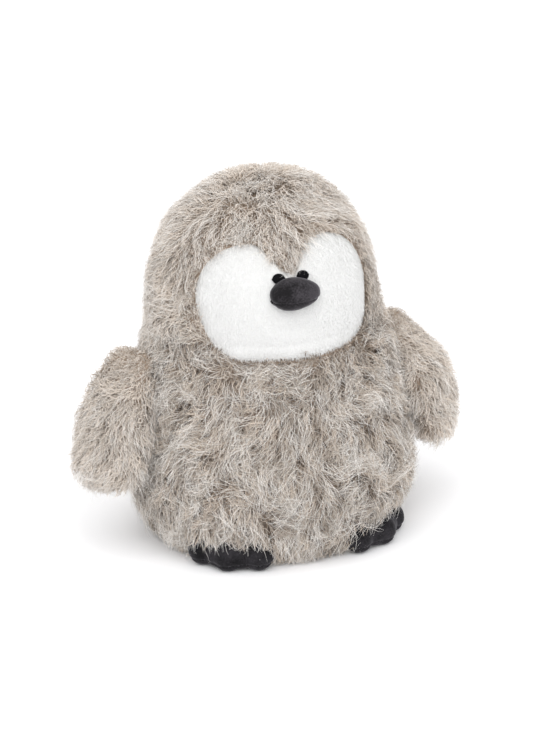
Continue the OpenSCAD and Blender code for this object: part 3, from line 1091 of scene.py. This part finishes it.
# %% Wing skins, fur and filling
WING_VOXEL = 3.5 * MM
WING_SWELL = 1.2 * MM
WING_TRAVEL = 2.5 * MM
WING_LUMP_SIZE = 45 * MM
WING_LUMP_HEIGHT = 1.5 * MM
WING_LEAN = 0.35         # how far the wing's fur is combed away from the body
WING_THICK = 1.15
ROOT_PILE = 0.35         # the pile's length where the wing joins the body
INNER_FUR = 0.7          # the fur between the wing and the body is this much of the outer fur
FILLING_GAP = 3.0 * MM
fibre_look = plain_material("polyester_fibre", (0.86, 0.84, 0.80), 0.95)
wing_fur = {
    "undercoat": (undercoat_tree, undercoat_look, dict(UNDERCOAT, swirl=1.2, height=8 * MM)),
    "guard_hairs": (guard_tree, guard_look,
                    dict(GUARD, swirl=1.4, length=26 * MM, height=7.6 * MM)),
}
for number, side_name in enumerate(("left", "right")):
    body_name = "wing_" + side_name
    away = 1.0 if side_name == "left" else -1.0
    outer, inner = body_name + "_outer", body_name + "_inner"
    form = remeshed(hull_of(body_name + "_form", outer, inner), WING_VOXEL, 6)
    rounder(form, WING_SWELL)
    stuffed(form, WING_TRAVEL)
    lumpy(form, WING_LUMP_SIZE, WING_LUMP_HEIGHT, SEED + 40 + number)
    is_outer = nearer(form, outer, inner)
    for node_name, mask in ((outer, is_outer), (inner, ~is_outer)):
        skin, normals = part_of(form, node_name + "_skin", mask)
        points = points_of(skin)
        low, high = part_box(outer)
        hang = (points[:, 2] - low.z) / (high.z - low.z)
        wanted = np.tile(DOWN, (len(points), 1)) + np.array([away * WING_LEAN, 0.0, 0.0])
        pile = ROOT_PILE + (1 - ROOT_PILE) * smooth_step(1 - hang, 0.0, 0.35)
        base = placed(node_name + "_base", skin.data.copy())
        groom(base, normals, wanted, pile, WING_THICK)
        for coat, (tree, look, values) in wing_fur.items():
            values = dict(values, seed=SEED + 1000 + 10 * number + (5 if mask is is_outer else 0))
            if mask is not is_outer:
                values["length"] *= INNER_FUR
                values["height"] *= INNER_FUR
            grow(node_name + "_" + coat, base, tree, look, body_name, **values)
        remove(base)
        backed(skin, FUR_BACKING)
        piece_done(skin, body_name, "long_fur", backing_look, node_name, fill=0.7)
    filling = filling_of(form, body_name + "_fibre", FILLING_GAP)
    piece_done(filling, body_name, "fibre_fill", fibre_look, body_name + "_stuffing", fill=0.7)
    remove(form)
print("wings are furred")

# %% [markdown]
# # Feet
# A foot is two pieces of smooth charcoal velour, a lobed top and a flat sole, stuffed tight.
# The CAD gives the three toes; remeshing and smoothing melts them into one soft paw. A narrow
# groove runs where the top is sewn to the sole.

# %% Velour, and the feet
def velour_material(name, color, fuzz_scale=900.0, depth=0.10, sheen=0.22, lean=0.0):
    """Very short dense pile: a randomly mottled colour, painted side light that lightens the
    colour towards +x by lean, and sheen at grazing angles.
    """
    material = plain_material(name, color, 0.85)
    tree = material.node_tree
    shader = tree.nodes["Principled BSDF"]
    where = node(tree, "ShaderNodeTexCoord", out="Object")
    blotch = node(tree, "ShaderNodeTexNoise", {"Vector": where, "Scale": 90.0, "Detail": 3.0})
    fuzz = node(tree, "ShaderNodeTexNoise", {"Vector": where, "Scale": fuzz_scale, "Detail": 2.0})
    x = node(tree, "ShaderNodeSeparateXYZ", {"Vector": where})
    # random mottling from the two noises, plus painted side light: x times lean lightens the
    # colour towards +x
    nap_and_painted_side_light = mapped(tree, blotch * 0.55 + fuzz * 0.45 + x * lean, 0.38, 0.62)
    dark = tuple(c * 0.35 for c in color)
    light = tuple(c * 1.9 for c in color)
    shade = mixed(tree, nap_and_painted_side_light, dark, light)
    tree.links.new(shade.socket, shader.inputs["Base Color"])
    bump = node(tree, "ShaderNodeBump", {"Height": fuzz, "Strength": depth, "Distance": 0.0006},
                out="Normal")
    tree.links.new(bump.socket, shader.inputs["Normal"])
    shader.inputs["Sheen Weight"].default_value = sheen
    shader.inputs["Sheen Roughness"].default_value = 0.35
    shader.inputs["Sheen Tint"].default_value = (0.75, 0.73, 0.78, 1.0)
    shader.inputs["Specular IOR Level"].default_value = 0.15
    return material


def joined(name, *node_names):
    bm = bmesh.new()
    for node_name in node_names:
        bm.from_mesh(NODES[node_name].data)
    return from_bmesh(name, bm)


def split_at(piece, height, pinch, reach):
    """Cuts a closed form by a level plane, and pulls the skin in along the cut."""
    bm = bmesh.new()
    bm.from_mesh(piece.data)
    bisected(bm, (0, 0, height), (0, 0, 1))
    bm.to_mesh(piece.data)
    bm.free()
    points = points_of(piece)
    near = np.exp(-((points[:, 2] - height) / reach) ** 2)[:, None]
    set_points(piece, points - normals_of(piece) * near * pinch)
    return middles_of(piece)[:, 2] > height


foot_look = velour_material("charcoal_velour", (0.016, 0.0147, 0.017))
VELOUR = 1.2 * MM
FOOT_VOXEL = 1.6 * MM
FOOT_SWELL = 0.9 * MM
FOOT_TRAVEL = 1.0 * MM
FOOT_CLEAR = 0.3 * MM    # the sole stays this far above the floor
for side_name in ("left", "right"):
    foot = "foot_" + side_name
    form = joined(foot + "_form", foot + "_top", foot + "_sole", foot + "_stuffing")
    remeshed(form, FOOT_VOXEL, 10)
    rounder(form, FOOT_SWELL)
    stuffed(form, FOOT_TRAVEL)
    points = points_of(form)
    points[:, 2] = np.maximum(points[:, 2], FOOT_CLEAR)
    set_points(form, points)
    seam_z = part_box(foot + "_sole")[1].z
    is_top = split_at(form, seam_z, pinch=0.9 * MM, reach=1.1 * MM)
    for part, mask in (("top", is_top), ("sole", ~is_top)):
        skin, _ = part_of(form, foot + "_" + part + "_velour", mask)
        backed(skin, VELOUR)
        piece_done(skin, "body", "velour", foot_look, foot + "_" + part, fill=0.85)
    filling = filling_of(form, foot + "_fibre", 2.2 * MM)
    piece_done(filling, "body", "fibre_fill", fibre_look, foot + "_stuffing", fill=0.85)
    remove(form)
print("feet are sewn")

# %% [markdown]
# # Face
# The face is one heart-shaped piece of short white plush. It is a little fuller than its
# opening, so it domes out and turns in at its edge, under the long fur. It is laid as rings
# from its middle to its rim, on the frame's face panel.

# %% The face
FACE_RINGS = 30
FACE_PUFF = 3.2 * MM
FACE_MARGIN = 1.5 * MM
FACE_CLEAR = 0.3 * MM    # the plush's rim stands this far off the body


def face_grid(name, margin, puff):
    """A grid of rings from the middle of the face to its rim, raised in the middle."""
    shape = tree_of(body_shape)
    share = np.linspace(0, 1, FACE_RINGS + 1)[1:]
    rows = [np.array([[FACE_MIDDLE[0], 0.0, FACE_MIDDLE[1]]])]
    for s in share:
        away = (rim_radii + margin) * s
        rows.append(np.column_stack([FACE_MIDDLE[0] + away * np.sin(rim_turns),
                                     np.zeros(FACE_RAYS),
                                     FACE_MIDDLE[1] + away * np.cos(rim_turns)]))
    flat = np.vstack(rows)
    heights = np.concatenate([[0.0], np.repeat(share, FACE_RAYS)])
    points = []
    for point, s in zip(flat, heights):
        hit, normal = from_front(shape, point[0], point[2])
        if normal.y > 0:
            normal = -normal
        lift = puff * (1 - s ** 5) + FACE_CLEAR
        points.append(hit + normal * lift)
    faces = []
    for k in range(FACE_RAYS):
        n = (k + 1) % FACE_RAYS
        faces.append((0, 1 + k, 1 + n))
        for row in range(FACE_RINGS - 1):
            a, b = 1 + row * FACE_RAYS, 1 + (row + 1) * FACE_RAYS
            faces.append((a + k, b + k, b + n, a + n))
    return mesh_object(name, points, faces)


face = face_grid("face_plush", FACE_MARGIN, FACE_PUFF)
if normals_of(face)[0][1] > 0:
    face.data.flip_normals()
smooth_face = face.modifiers.new("smooth", "SMOOTH")
smooth_face.factor = 0.5
smooth_face.iterations = 6
finished(face)
lumpy(face, 40 * MM, 0.5 * MM, SEED + 3)
face_normals = normals_of(face)
plush_look = plain_material("white_plush_backing", (0.86, 0.86, 0.85), 0.95)
pile_look = hair_material("white_pile", (0.81, 0.81, 0.80), (0.83, 0.83, 0.825),
                          (0.84, 0.84, 0.835), 0.985, 0.985, 0.25)
face_base = placed("face_base", face.data.copy())
face_comb = np.tile(DOWN, (len(face_normals), 1))
groom(face_base, face_normals, face_comb, 1.0, bare_spots(points_of(face_base)))
FACE_PILE = dict(density=1.6e6, length=3.0 * MM, height=1.0 * MM, width=0.5 * MM, uneven=0.4,
                 swirl=0.10, swirl_size=30 * MM, stray=0.15, clump_size=2.5 * MM, clump=0.1,
                 curl=0.05 * MM, curls=0.3, roll=0.4)
pile_tree = fur_tree("short_pile", 2)
face_pile = grow("face_pile", face_base, pile_tree, pile_look, "body", seed=SEED + 9, **FACE_PILE)
remove(face_base)
backed(face, FUR_BACKING)
piece_done(face, "body", "face_plush", plush_look, "face_panel", fill=0.6)
print("face pile", len(face_pile.data.polygons))

# %% [markdown]
# # Beak and eyes
# The beak is an egg of dark velour lying across the face, its narrower end to the penguin's
# left, sewn from an upper and a lower piece. Its back is pressed flat against the face. The
# eyes are small patches of black satin stitch just above it.

# %% The beak
beak_low, beak_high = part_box("beak_top")
beak_bottom_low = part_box("beak_bottom")[0]
BEAK_HALF = (beak_high.x - beak_low.x) / 2
BEAK_FRONT = beak_low.y
BEAK_Z = (beak_high.z + beak_bottom_low.z) / 2
BEAK_THICK = (beak_high.z - beak_bottom_low.z) / 2
BEAK_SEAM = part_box("beak_bottom")[1].z
BEAK_SHIFT = -1.0 * MM
BEAK_BLUNT = 0.50        # 0.5 is an ellipse; a smaller power fills out the ends
BEAK_EGG = 0.13          # how much fuller the end on the toy's right is
BEAK_FLAT = 0.95
BEAK_ROOM = 0.4 * MM     # between the beak and the face
BEAK_FILL = 0.72         # the filling's size, as a share of the beak's


def beak_form():
    across, around = 56, 64
    rows = []
    for k in range(across + 1):
        t = -math.cos(math.pi * k / across)
        radius = max(1 - t * t, 0.0) ** BEAK_BLUNT * (1 - BEAK_EGG * t)
        turn = np.arange(around) * 2 * math.pi / around
        rows.append(np.column_stack([
            np.full(around, BEAK_SHIFT + t * BEAK_HALF * 1.05),
            BEAK_FRONT + BEAK_THICK * (1 - np.cos(turn) * radius),
            BEAK_Z + BEAK_THICK * BEAK_FLAT * np.sin(turn) * radius]))
    points = np.vstack(rows)
    faces = []
    for k in range(across):
        for j in range(around):
            n = (j + 1) % around
            a, b = k * around, (k + 1) * around
            faces.append((a + j, a + n, b + n, b + j))
    piece = mesh_object("beak_form", points, faces)
    return remeshed(piece, 0.9 * MM, 4)


def pressed_on_face(piece, room):
    """Presses a form flat against the face, leaving this much room."""
    points = points_of(piece)
    for point in points:
        hit = from_front(behind, point[0], point[2])[0]
        if hit:
            point[1] = min(point[1], hit.y - room)
    set_points(piece, points)


behind = tree_of(face)
beak = beak_form()
rounder(beak, 0.3 * MM)
pressed_on_face(beak, BEAK_ROOM)
lumpy(beak, 11 * MM, 0.25 * MM, SEED + 4)
beak_is_top = split_at(beak, BEAK_SEAM, pinch=0.7 * MM, reach=0.8 * MM)
# lean=6.0 paints side light on the beak: its colour grows lighter towards the toy's left
beak_look = velour_material("dark_grey_velour", (0.024, 0.0217, 0.0247), 700.0, 0.45, 0.45,
                            lean=6.0)
for part, mask in (("top", beak_is_top), ("bottom", ~beak_is_top)):
    skin, _ = part_of(beak, "beak_" + part + "_velour", mask)
    backed(skin, VELOUR * 0.6)
    piece_done(skin, "body", "velour", beak_look, "beak_" + part, fill=0.8)
filling = filling_of(beak, "beak_fibre", 0.0)
beak_points = points_of(filling)
beak_heart = np.median(beak_points, axis=0)
set_points(filling, beak_heart + (beak_points - beak_heart) * BEAK_FILL)
piece_done(filling, "body", "fibre_fill", fibre_look, "beak_stuffing", fill=0.8)
remove(beak)
print("beak is sewn")


# %% The eyes
def stitch_tree(name):
    """Parallel threads laid side by side over a round patch, each as long as the patch there."""
    tree = bpy.data.node_groups.new(name, "GeometryNodeTree")
    f = inputs_for(tree, threads=("Int", 15), radius=("Float", 0.0045),
                   dome=("Float", 0.001), material=("Material", None))
    line = tree.nodes.new("GeometryNodeMeshLine")
    line.mode = "END_POINTS"
    feed(tree, line.inputs["Count"], f["threads"])
    inside = f["radius"] * 0.97
    feed(tree, line.inputs[2], vector_of(tree, inside * -1.0, 0.0, 0.0))
    feed(tree, line.inputs[3], vector_of(tree, inside, 0.0, 0.0))
    at = node(tree, "ShaderNodeSeparateXYZ", {"Vector": node(tree, "GeometryNodeInputPosition")})
    share = at / f["radius"]
    chord = (share * share * -1.0 + 1.0).math("SQRT")
    points = node(tree, "GeometryNodeMeshToPoints", {"Mesh": Field(tree, line.outputs["Mesh"])})
    tube = tree.nodes.new("GeometryNodeMeshUVSphere")
    tube.inputs["Segments"].default_value = 6
    tube.inputs["Rings"].default_value = 9
    tube.inputs["Radius"].default_value = 1.0
    thread = (f["radius"] / f["threads"]) * 2.4
    scale = vector_of(tree, thread, chord * f["radius"], chord * f["dome"] + thread * 0.5)
    laid = node(tree, "GeometryNodeInstanceOnPoints", {
        "Points": points, "Instance": Field(tree, tube.outputs["Mesh"]), "Scale": scale})
    made = node(tree, "GeometryNodeRealizeInstances", {"Geometry": laid})
    made = node(tree, "GeometryNodeSetMaterial", {"Geometry": made, "Material": f["material"]})
    feed(tree, tree.nodes.new("NodeGroupOutput").inputs["Geometry"], made)
    return tree


thread_look = plain_material("black_thread", (0.004, 0.004, 0.005), 0.8)
thread_look.node_tree.nodes["Principled BSDF"].inputs["Specular IOR Level"].default_value = 0.1
eye_tree = stitch_tree("satin_stitch")
EYE_DOME = 1.3 * MM
face_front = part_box("face_panel")[0].y
for side_name, way in (("left", 1.0), ("right", -1.0)):
    turn = math.asin((way * EYE_APART + EYE_SHIFT) / abs(face_front))
    out = Vector((math.sin(turn), -math.cos(turn), 0.0))
    hit, normal = behind.ray_cast(Vector((0, 0, EYE_Z)) + out * RAY_START, -out)[:2]
    if normal.dot(out) < 0:
        normal = -normal
    eye = mesh_object("eye_" + side_name + "_stitches", [(0, 0, 0)], [])
    grown(eye, eye_tree, radius=EYE_R, threads=15, dome=EYE_DOME, material=thread_look)
    facing = normal.to_track_quat("Z", "Y").to_matrix().to_4x4()
    facing.translation = hit + normal * EYE_DOME
    eye.data.transform(facing)
    eye.data.shade_smooth()
    piece_done(eye, "body", "eye_thread", thread_look, "eye_" + side_name)
print("eyes are stitched")

# %% [markdown]
# # Filling, base and label
# Inside is loose fibre over a pouch of pellets that keeps the toy upright. The pouch is a
# soft cushion and the pellets are separate beads. The base is a velour disc, and a blank
# folded tab hangs from the seam in the middle of the back.

# %% Filling, base and label
fibre_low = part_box("body_stuffing")[0].z
fibre = filling_of(body_shape, "body_fibre", FILLING_GAP, cut_below=fibre_low)
piece_done(fibre, "body", "fibre_fill", fibre_look, "body_stuffing", fill=0.8)

pouch_low, pouch_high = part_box("bean_pouch")
POUCH_R, POUCH_H = pouch_high.x, pouch_high.z - pouch_low.z


def cushion(name, radius, height, base_z, rings=18, spokes=72):
    """A round cushion, closed, with a soft edge."""
    rows = []
    for k in range(1, 2 * rings):
        t = math.pi * k / (2 * rings)
        wide = radius * math.sin(t) ** 0.45
        z = base_z + height / 2 - height / 2 * math.copysign(abs(math.cos(t)) ** 0.7, math.cos(t))
        rows.append((wide, z))
    return outward(turned_form(name, rows, spokes, base_z, base_z + height))


pouch = cushion("pouch_cotton", POUCH_R, POUCH_H, pouch_low.z)
pouch_points = points_of(pouch)
dents = lumps(pouch_points, 30 * MM, SEED + 6)[:, None] * 0.6 * MM
set_points(pouch, pouch_points - normals_of(pouch) * (0.7 * MM + dents))
backed(pouch, 0.8 * MM)
pouch_look = plain_material("pouch_cotton", (0.70, 0.66, 0.58), 0.9)
piece_done(pouch, "body", "pouch_cloth", pouch_look, "bean_pouch", fill=0.7)


def bead_tree(name):
    tree = bpy.data.node_groups.new(name, "GeometryNodeTree")
    f = inputs_for(tree, density=("Float", 4e6), bead=("Float", 0.002),
                   seed=("Int", SEED), material=("Material", None))
    volume = node(tree, "GeometryNodeMeshToVolume", {"Mesh": f["Geometry"], 2: 0.0012})
    scatter = tree.nodes.new("GeometryNodeDistributePointsInVolume")
    feed(tree, scatter.inputs["Volume"], volume)
    feed(tree, scatter.inputs["Density"], f["density"])
    feed(tree, scatter.inputs["Seed"], f["seed"])
    ball = tree.nodes.new("GeometryNodeMeshIcoSphere")
    ball.inputs["Subdivisions"].default_value = 2
    feed(tree, ball.inputs["Radius"], f["bead"])
    laid = node(tree, "GeometryNodeInstanceOnPoints", {
        "Points": Field(tree, scatter.outputs["Points"]),
        "Instance": Field(tree, ball.outputs["Mesh"])})
    made = node(tree, "GeometryNodeRealizeInstances", {"Geometry": laid})
    made = node(tree, "GeometryNodeSetMaterial", {"Geometry": made, "Material": f["material"]})
    feed(tree, tree.nodes.new("NodeGroupOutput").inputs["Geometry"], made)
    return tree


pellet_look = plain_material("pellet_plastic", (0.80, 0.80, 0.78), 0.45)
pellets = cushion("pellets", POUCH_R - 5 * MM, POUCH_H - 8 * MM, pouch_low.z + 4 * MM)
grown(pellets, bead_tree("pellets"), density=5e6, bead=2.2 * MM, seed=SEED,
      material=pellet_look)
piece_done(pellets, "body", "pellets", pellet_look, "bean_pellets")
print("pellets", len(pellets.data.polygons), "faces")

base_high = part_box("base_panel")[1]
base = cushion("base_velour", base_high.x, base_high.z, 0.0)
piece_done(base, "body", "velour", foot_look, "base_panel")


def folded_tab(name):
    """A ribbon folded back on itself, both ends in the seam, with a soft loop at the fold."""
    low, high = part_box("care_tab")
    steps, wide = 14, 8
    middle = (low.x + high.x) / 2
    half = (high.x - low.x) / 2
    loop = 1.2 * MM
    path = [(middle - half * 0.6, low.y), (middle - half, high.y - 3 * loop)]
    for k in range(steps + 1):
        turn = math.pi * k / steps
        path.append((middle - loop * math.cos(turn), high.y - loop + loop * math.sin(turn)))
    path += [(middle + half, high.y - 3 * loop), (middle + half * 0.6, low.y)]
    path = even_steps(np.array(path), 40)
    points, faces = [], []
    for j in range(wide + 1):
        z = low.z + (high.z - low.z) * j / wide
        droop = 0.4 * MM * math.sin(math.pi * j / wide)
        points.extend([(x + droop * (y - low.y) / (high.y - low.y), y, z) for x, y in path])
    row = len(path)
    for j in range(wide):
        for k in range(row - 1):
            a = j * row + k
            faces.append((a, a + 1, a + row + 1, a + row))
    tab = mesh_object(name, points, faces)
    solid = tab.modifiers.new("ribbon", "SOLIDIFY")
    solid.thickness = 0.25 * MM
    solid.offset = 0
    return finished(tab)


tab_look = plain_material("tab_satin", (0.88, 0.88, 0.87), 0.4)
tab = folded_tab("satin_tab")
piece_done(tab, "body", "tab_satin", tab_look, "care_tab")
remove(body_shape)
